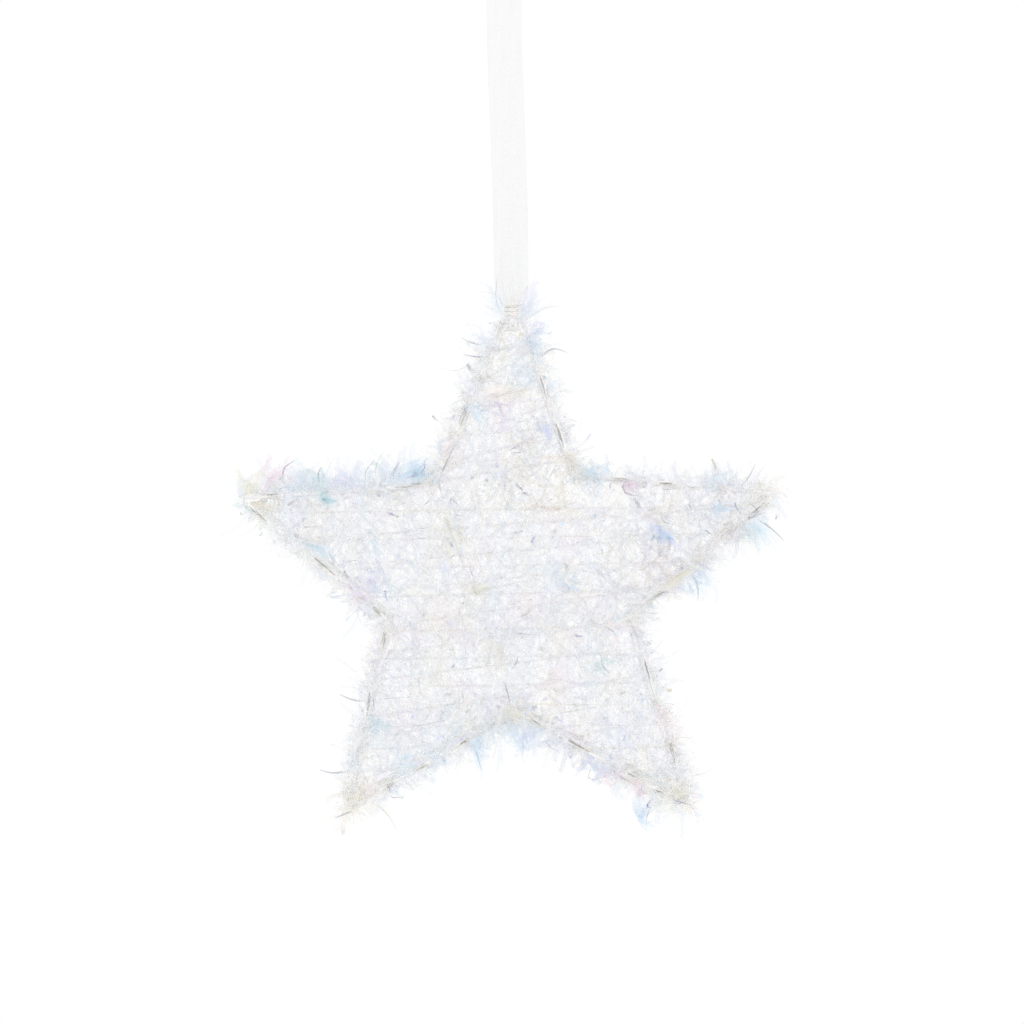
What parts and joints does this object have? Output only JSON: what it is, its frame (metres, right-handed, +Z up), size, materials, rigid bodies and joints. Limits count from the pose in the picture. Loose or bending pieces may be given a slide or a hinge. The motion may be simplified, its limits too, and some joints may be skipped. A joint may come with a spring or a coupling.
{
  "type": "hanging tinsel star",
  "caption": "Five-pointed wire-framed star wound with pale iridescent film tinsel, hung from a sheer ribbon loop.",
  "frame": {"origin": "inside of the ribbon loop's top, where a hook or twig carries it", "axes": "+Z up along the ribbon, -Y the star's front face, +X to the right seen from the front"},
  "size_m": [0.1642, 0.0377, 0.2473],
  "materials": {
    "frame_wire": "satin white-grey lacquer on bent wire",
    "core_thread": "pale twisted thread",
    "film_tinsel": "clear iridescent film, glossy, pale blue and pink glints",
    "sheer_ribbon": "sheer organza weave",
    "tie_thread": "twisted cream film thread"
  },
  "bodies": {
    "ribbon": {"ribbon_loop": "sheer_ribbon"},
    "gather": {"front_ribbon_gather": "sheer_ribbon", "rear_ribbon_gather": "sheer_ribbon"},
    "eye": {"ribbon_eye": "sheer_ribbon", "ribbon_tie": "tie_thread"},
    "star": {"front_outline": "frame_wire", "rear_outline": "frame_wire", "top_cross_wire": "frame_wire", "upper_right_notch_cross_wire": "frame_wire", "lower_right_notch_cross_wire": "frame_wire", "bottom_notch_cross_wire": "frame_wire", "lower_left_notch_cross_wire": "frame_wire", "upper_left_notch_cross_wire": "frame_wire", "right_tip_cross_wire": "frame_wire", "lower_right_tip_cross_wire": "frame_wire", "lower_left_tip_cross_wire": "frame_wire", "left_tip_cross_wire": "frame_wire", "long_garland_core": "core_thread", "short_garland_core": "core_thread", "top_arm_tinsel": "film_tinsel", "side_arms_tinsel": "film_tinsel", "waist_tinsel": "film_tinsel", "left_leg_tinsel": "film_tinsel", "right_leg_tinsel": "film_tinsel"}
  },
  "joints": [
    {"name": "ribbon_twist", "type": "hinge", "parent": "ribbon", "child": "gather", "pos_m": [0, 0, -0.093], "axis": [0, 0, 1], "range_deg": [-180, 180]},
    {"name": "front_back_swing", "type": "hinge", "parent": "gather", "child": "eye", "pos_m": [0, 0, -0.0994], "axis": [1, 0, 0], "range_deg": [-60, 60], "deforming": ["front_ribbon_gather", "rear_ribbon_gather"]},
    {"name": "side_swing", "type": "hinge", "parent": "eye", "child": "star", "pos_m": [0, 0, -0.105], "axis": [0, 1, 0], "range_deg": [-60, 60]}
  ]
}
